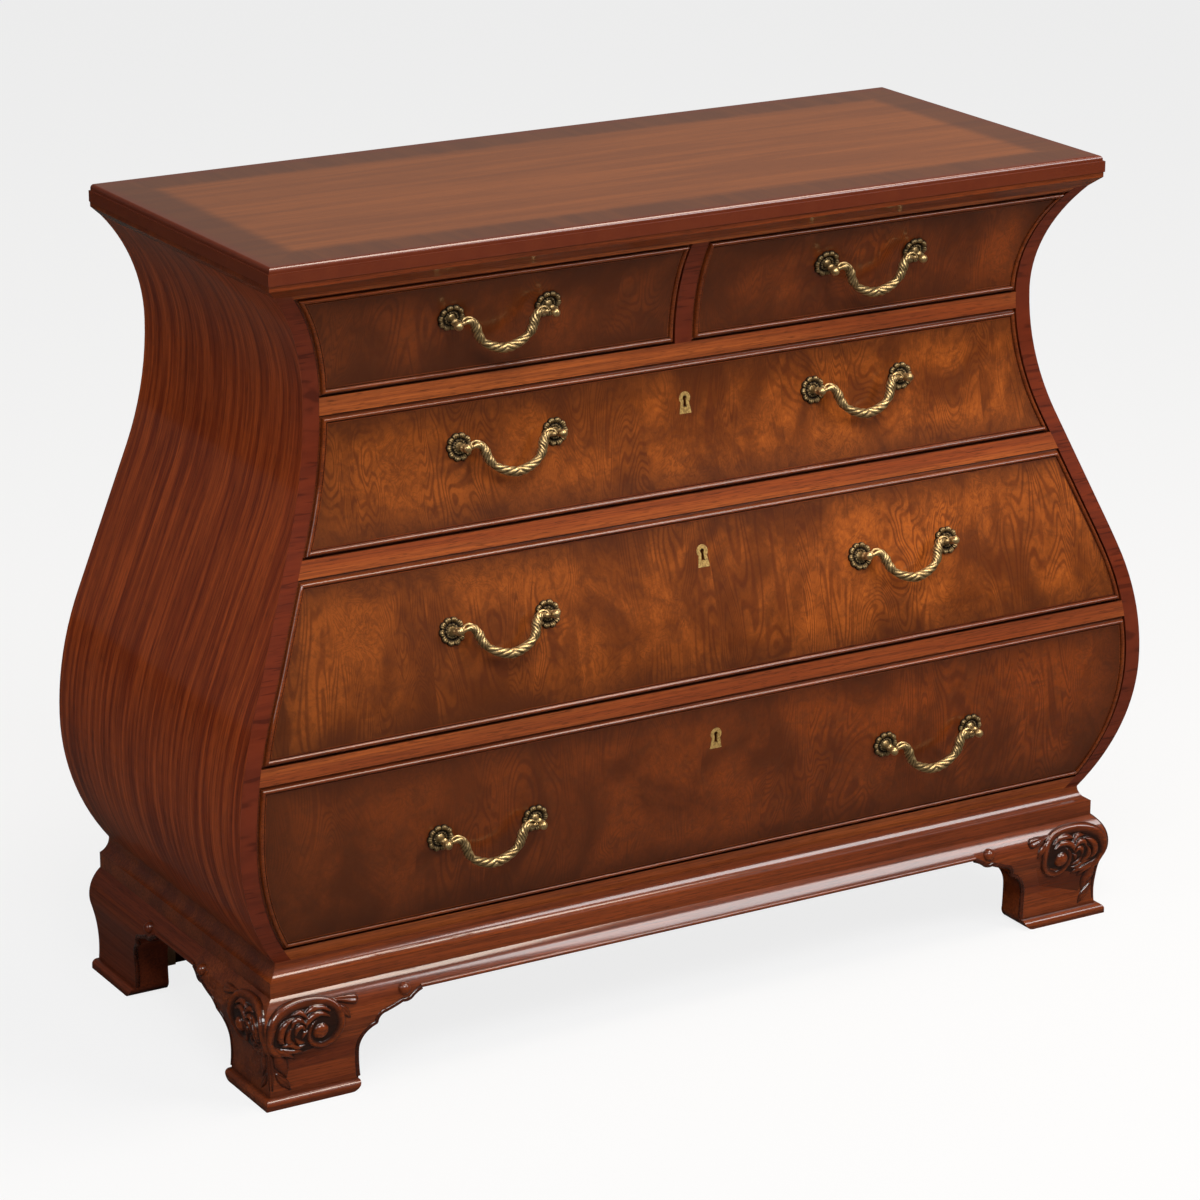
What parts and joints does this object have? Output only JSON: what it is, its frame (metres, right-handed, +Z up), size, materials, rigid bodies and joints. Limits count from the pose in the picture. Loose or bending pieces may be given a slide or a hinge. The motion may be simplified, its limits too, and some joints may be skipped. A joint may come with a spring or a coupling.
{
  "type": "bombe chest",
  "caption": "Chest of drawers with swelled bombe front and sides, cock-beaded drawers, swinging bail pulls, moulded top and carved ogee bracket feet.",
  "frame": {"origin": "centre of the outer box at floor level", "axes": "+X to the right along the length, +Y to the back, +Z up"},
  "size_m": [1.158, 0.4816, 0.914],
  "materials": {
    "mahogany": "satin glazed",
    "dark_mahogany": "gloss",
    "figured_walnut": "semi-gloss, shaded at the edges",
    "drawer_lining": "plain, unstained",
    "antique_brass": "antique, dark in the recesses"
  },
  "bodies": {
    "case": {"top_board": "mahogany", "top_moulding": "mahogany", "side_left": "mahogany", "side_right": "mahogany", "stile_left": "mahogany", "stile_right": "mahogany", "back_panel": "drawer_lining", "rail_top": "mahogany", "rail_upper": "mahogany", "rail_middle": "mahogany", "rail_lower": "mahogany", "drawer_divider": "mahogany", "dust_panels": "drawer_lining", "bottom_board": "mahogany", "drawer_guides": "drawer_lining", "base_moulding": "mahogany", "foot_front_left": "mahogany", "foot_front_right": "mahogany", "foot_back_left": "mahogany", "foot_back_right": "mahogany", "apron_front": "mahogany", "apron_left": "mahogany", "apron_right": "mahogany", "foot_blocks": "drawer_lining"},
    "top_left_drawer": {"top_left_front": "figured_walnut", "top_left_bead": "dark_mahogany", "top_left_box": "drawer_lining", "top_left_floor": "drawer_lining", "top_left_posts": "antique_brass"},
    "top_right_drawer": {"top_right_front": "figured_walnut", "top_right_bead": "dark_mahogany", "top_right_box": "drawer_lining", "top_right_floor": "drawer_lining", "top_right_posts": "antique_brass"},
    "second_drawer": {"second_front": "figured_walnut", "second_bead": "dark_mahogany", "second_box": "drawer_lining", "second_floor": "drawer_lining", "second_posts": "antique_brass", "second_escutcheon": "antique_brass"},
    "third_drawer": {"third_front": "figured_walnut", "third_bead": "dark_mahogany", "third_box": "drawer_lining", "third_floor": "drawer_lining", "third_posts": "antique_brass", "third_escutcheon": "antique_brass"},
    "bottom_drawer": {"bottom_front": "figured_walnut", "bottom_bead": "dark_mahogany", "bottom_box": "drawer_lining", "bottom_floor": "drawer_lining", "bottom_posts": "antique_brass", "bottom_escutcheon": "antique_brass"},
    "top_left_bail": {"top_left_bail": "antique_brass"},
    "top_right_bail": {"top_right_bail": "antique_brass"},
    "second_bail_left": {"second_bail_left": "antique_brass"},
    "second_bail_right": {"second_bail_right": "antique_brass"},
    "third_bail_left": {"third_bail_left": "antique_brass"},
    "third_bail_right": {"third_bail_right": "antique_brass"},
    "bottom_bail_left": {"bottom_bail_left": "antique_brass"},
    "bottom_bail_right": {"bottom_bail_right": "antique_brass"}
  },
  "joints": [
    {"name": "top_left_slide", "type": "slide", "parent": "case", "child": "top_left_drawer", "axis": [0, -1, 0], "range_m": [0, 0.27]},
    {"name": "top_right_slide", "type": "slide", "parent": "case", "child": "top_right_drawer", "axis": [0, -1, 0], "range_m": [0, 0.27]},
    {"name": "second_slide", "type": "slide", "parent": "case", "child": "second_drawer", "axis": [0, -1, 0], "range_m": [0, 0.27]},
    {"name": "third_slide", "type": "slide", "parent": "case", "child": "third_drawer", "axis": [0, -1, 0], "range_m": [0, 0.3]},
    {"name": "bottom_slide", "type": "slide", "parent": "case", "child": "bottom_drawer", "axis": [0, -1, 0], "range_m": [0, 0.3]},
    {"name": "top_left_bail_swing", "type": "hinge", "parent": "top_left_drawer", "child": "top_left_bail", "pos_m": [-0.2335, -0.17119, 0.82115], "axis": [-1, 0, 0], "range_deg": [-9, 150]},
    {"name": "top_right_bail_swing", "type": "hinge", "parent": "top_right_drawer", "child": "top_right_bail", "pos_m": [0.2335, -0.17119, 0.82115], "axis": [-1, 0, 0], "range_deg": [-9, 150]},
    {"name": "second_bail_left_swing", "type": "hinge", "parent": "second_drawer", "child": "second_bail_left", "pos_m": [-0.222, -0.16644, 0.68413], "axis": [-1, 0, 0], "range_deg": [0, 132]},
    {"name": "second_bail_right_swing", "type": "hinge", "parent": "second_drawer", "child": "second_bail_right", "pos_m": [0.222, -0.16644, 0.68413], "axis": [-1, 0, 0], "range_deg": [0, 132]},
    {"name": "third_bail_left_swing", "type": "hinge", "parent": "third_drawer", "child": "third_bail_left", "pos_m": [-0.258, -0.21302, 0.50053], "axis": [-1, 0, 0], "range_deg": [0, 124]},
    {"name": "third_bail_right_swing", "type": "hinge", "parent": "third_drawer", "child": "third_bail_right", "pos_m": [0.258, -0.21302, 0.50053], "axis": [-1, 0, 0], "range_deg": [0, 124]},
    {"name": "bottom_bail_left_swing", "type": "hinge", "parent": "bottom_drawer", "child": "bottom_bail_left", "pos_m": [-0.285, -0.23152, 0.2729], "axis": [-1, 0, 0], "range_deg": [0, 148]},
    {"name": "bottom_bail_right_swing", "type": "hinge", "parent": "bottom_drawer", "child": "bottom_bail_right", "pos_m": [0.285, -0.23152, 0.2729], "axis": [-1, 0, 0], "range_deg": [0, 148]}
  ]
}
